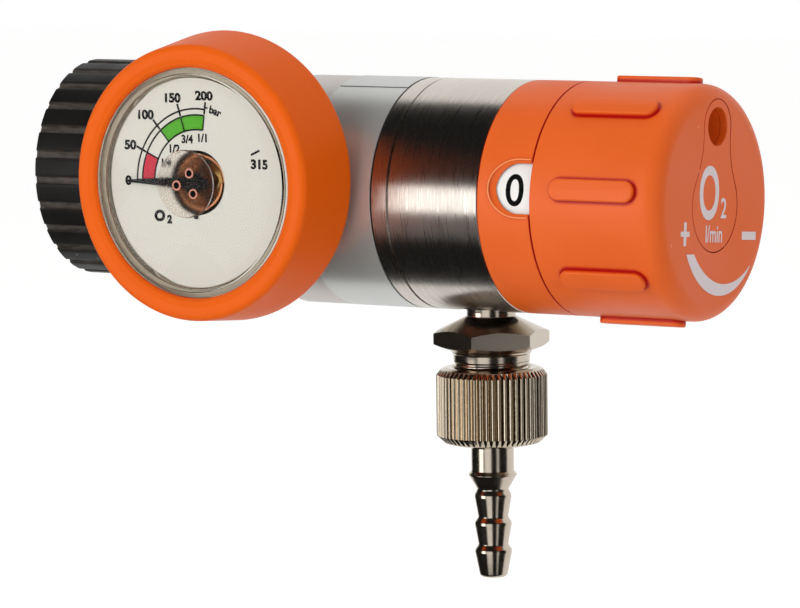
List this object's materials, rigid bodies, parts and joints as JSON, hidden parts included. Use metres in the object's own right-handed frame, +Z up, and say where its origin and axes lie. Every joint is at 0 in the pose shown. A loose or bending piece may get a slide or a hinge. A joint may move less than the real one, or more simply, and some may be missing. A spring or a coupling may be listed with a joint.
{
  "type": "oxygen regulator",
  "caption": "Gas cylinder pressure reducer with hand-tight union, guarded contents gauge, click-stop flow knob and barbed hose outlet.",
  "frame": {"origin": "centre of the front face of the inlet spigot, on the axis of the inlet union", "axes": "+X along the body from the cylinder end to the selector knob, -Y out of the gauge face, +Z up, the hose outlet pointing down along -Z"},
  "size_m": [0.1375, 0.0616, 0.1025],
  "materials": {
    "black_plastic": "ribbed matte",
    "brass": "machined",
    "satin_metal": "satin turned",
    "nickel": "nickel plated, turned",
    "plated_brass": "nickel plated, bright",
    "label_film": "silver white film",
    "orange_rubber": "satin",
    "orange_plastic": "satin",
    "white_plastic": "satin",
    "clear_lens": "clear",
    "dial_paint": "matte",
    "copper": "drawn tube",
    "seal_rubber": "matte",
    "spring_steel": "drawn wire",
    "steel": "machined",
    "sintered_bronze": "porous"
  },
  "bodies": {
    "regulator": {"union_clip": "steel", "inlet_connector": "brass", "inlet_seal": "seal_rubber", "inlet_filter": "sintered_bronze", "inlet_body": "satin_metal", "label_sleeve": "label_film", "gauge_socket": "brass", "gauge_case": "steel", "gauge_guard": "orange_rubber", "gauge_dial": "dial_paint", "gauge_lens": "clear_lens", "pointer_post": "brass", "bourdon_tube": "copper", "main_spring": "spring_steel", "outlet_body": "nickel", "flow_seal": "seal_rubber", "selector_bearing": "brass", "shaft_seal": "seal_rubber", "index_ball": "steel", "index_spring": "spring_steel", "window_collar": "orange_plastic", "outlet_fitting": "plated_brass", "outlet_washer": "seal_rubber", "relief_cap": "plated_brass", "relief_spring": "spring_steel"},
    "union": {"handwheel": "black_plastic", "union_nut": "brass"},
    "selector": {"selector_shaft": "steel", "flow_disc": "steel", "number_ring": "white_plastic", "selector_knob": "orange_plastic", "knob_cap": "orange_plastic", "knob_screw": "steel"},
    "pointer": {"gauge_pointer": "black_plastic"},
    "reducer_piston": {"piston": "brass", "piston_seat_pad": "white_plastic", "piston_head_seal": "seal_rubber", "piston_stem_seal": "seal_rubber"},
    "tail": {"hose_tail": "plated_brass", "tail_seal": "seal_rubber"},
    "clamp_nut": {"outlet_nut": "plated_brass"},
    "relief_valve": {"relief_poppet": "brass"}
  },
  "joints": [
    {"name": "handwheel_spin", "type": "hinge", "parent": "regulator", "child": "union", "pos_m": [0.008, 0, 0], "axis": [1, 0, 0], "continuous": true},
    {"name": "knob_turn", "type": "hinge", "parent": "regulator", "child": "selector", "pos_m": [0.12, 0, -0.0028], "axis": [-1, 0, 0], "range_deg": [0, 330]},
    {"name": "pointer_sweep", "type": "hinge", "parent": "regulator", "child": "pointer", "pos_m": [0.0442, -0.0348, 0.0006], "axis": [0, 1, 0], "range_deg": [0, 154.4], "stiffness_Nm_per_rad": 0.002},
    {"name": "piston_slide", "type": "slide", "parent": "regulator", "child": "reducer_piston", "axis": [-1, 0, 0], "range_m": [0, 0.0006], "stiffness_N_per_m": 4000, "deforming": ["main_spring"]},
    {"name": "tail_slide", "type": "slide", "parent": "regulator", "child": "tail", "axis": [0, 0, -1], "range_m": [0, 0.00564]},
    {"name": "nut_turn", "type": "hinge", "parent": "tail", "child": "clamp_nut", "pos_m": [0.0868, 0, -0.045], "axis": [0, 0, -1], "range_deg": [0, 1440]},
    {"name": "relief_lift", "type": "slide", "parent": "regulator", "child": "relief_valve", "axis": [0, 1, 0], "range_m": [0, 0.001], "stiffness_N_per_m": 1500, "deforming": ["relief_spring"]}
  ],
  "couplings": [
    {"joint": "nut_turn", "follows": "tail_slide", "rad_per_m": 4453}
  ]
}
